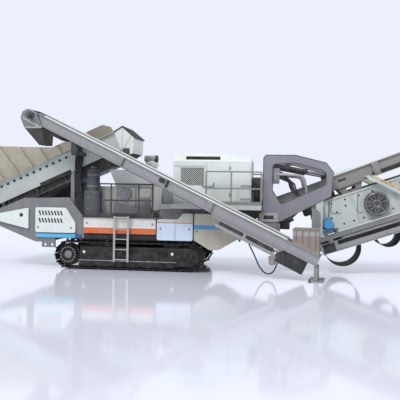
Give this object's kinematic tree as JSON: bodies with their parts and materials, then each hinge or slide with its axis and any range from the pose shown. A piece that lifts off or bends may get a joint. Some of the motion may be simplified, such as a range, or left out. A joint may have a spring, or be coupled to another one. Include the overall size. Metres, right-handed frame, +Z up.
{
  "type": "tracked mobile crushing plant",
  "caption": "Tracked crushing plant: feed hopper and belt feeder over a jaw crusher, power pack, inclined main conveyor, vibrating screen and a return conveyor.",
  "frame": {"origin": "on the ground, at the middle of the machine's box in plan", "axes": "+X from the feed hopper to the discharge end, +Z up, -Y the pictured side"},
  "size_m": [17.151, 4.6807, 4.8656],
  "materials": {
    "bare_steel": "worn",
    "beige_paint": "dusty satin paint",
    "belt_rubber": "matte",
    "blue_paint": "satin paint",
    "brown_steel": "weathered",
    "dark_paint": "satin paint",
    "galvanised_steel": "dull galvanised",
    "grey_paint": "satin paint",
    "hose_rubber": "matte",
    "orange_paint": "satin paint with an orange stripe",
    "pale_paint": "satin paint",
    "screen_paint": "satin paint",
    "track_steel": "dark worn"
  },
  "bodies": {
    "plant": {"belt_guards": "beige_paint", "blue_bars": "blue_paint", "boom_base_beam": "grey_paint", "boom_cross_tubes": "grey_paint", "boom_frame_far": "grey_paint", "boom_frame_near": "grey_paint", "car_body": "grey_paint", "chassis_cross_members": "grey_paint", "chassis_side_far": "grey_paint", "chassis_side_near": "grey_paint", "conveyor_drums": "bare_steel", "crusher_frame": "grey_paint", "crusher_handrails": "dark_paint", "crusher_inlet": "pale_paint", "crusher_jaws": "track_steel", "crusher_platform": "grey_paint", "drain_hose": "hose_rubber", "exciter_tube": "bare_steel", "exhaust_stack": "pale_paint", "feeder_belt": "belt_rubber", "feeder_head_hood": "pale_paint", "feeder_posts": "grey_paint", "feeder_side_far": "pale_paint", "feeder_side_near": "pale_paint", "final_drives": "track_steel", "hopper_wall_far": "beige_paint", "hopper_wall_near": "beige_paint", "hopper_wall_rear": "beige_paint", "louvre_doors": "pale_paint", "main_conveyor_belt": "belt_rubber", "main_conveyor_frame": "grey_paint", "nose_panels": "pale_paint", "oil_cooler": "dark_paint", "oil_tank": "dark_paint", "power_pack_handrails": "dark_paint", "power_pack_housing": "pale_paint", "power_pack_platform": "grey_paint", "product_conveyor_belt": "belt_rubber", "product_conveyor_frame": "grey_paint", "return_chute": "grey_paint", "return_conveyor_belt": "belt_rubber", "return_conveyor_frame": "galvanised_steel", "return_tail_hopper": "brown_steel", "return_underframe": "galvanised_steel", "screen_decks": "bare_steel", "screen_motor": "blue_paint", "screen_sides": "screen_paint", "screen_springs": "bare_steel", "screen_subframe": "screen_paint", "screen_suspension": "screen_paint", "side_cabinets": "pale_paint", "stripe_panels": "orange_paint", "tail_panels": "beige_paint", "track_chain_far": "track_steel", "track_chain_near": "track_steel", "track_frame_far": "track_steel", "track_frame_near": "track_steel", "track_wheels": "track_steel"},
    "exciter": {"exciter_rotor": "bare_steel"},
    "ladder": {"ladder": "galvanised_steel"}
  },
  "joints": [
    {"name": "screen_flywheel_spin", "type": "hinge", "parent": "plant", "child": "exciter", "pos_m": [4.10654, 0.4, 2.17876], "axis": [0, 1, 0], "continuous": true},
    {"name": "ladder_fold", "type": "hinge", "parent": "plant", "child": "ladder", "pos_m": [-3.5, -1.038, 1.615], "axis": [-1, 0, 0], "range_deg": [0, 150]}
  ]
}
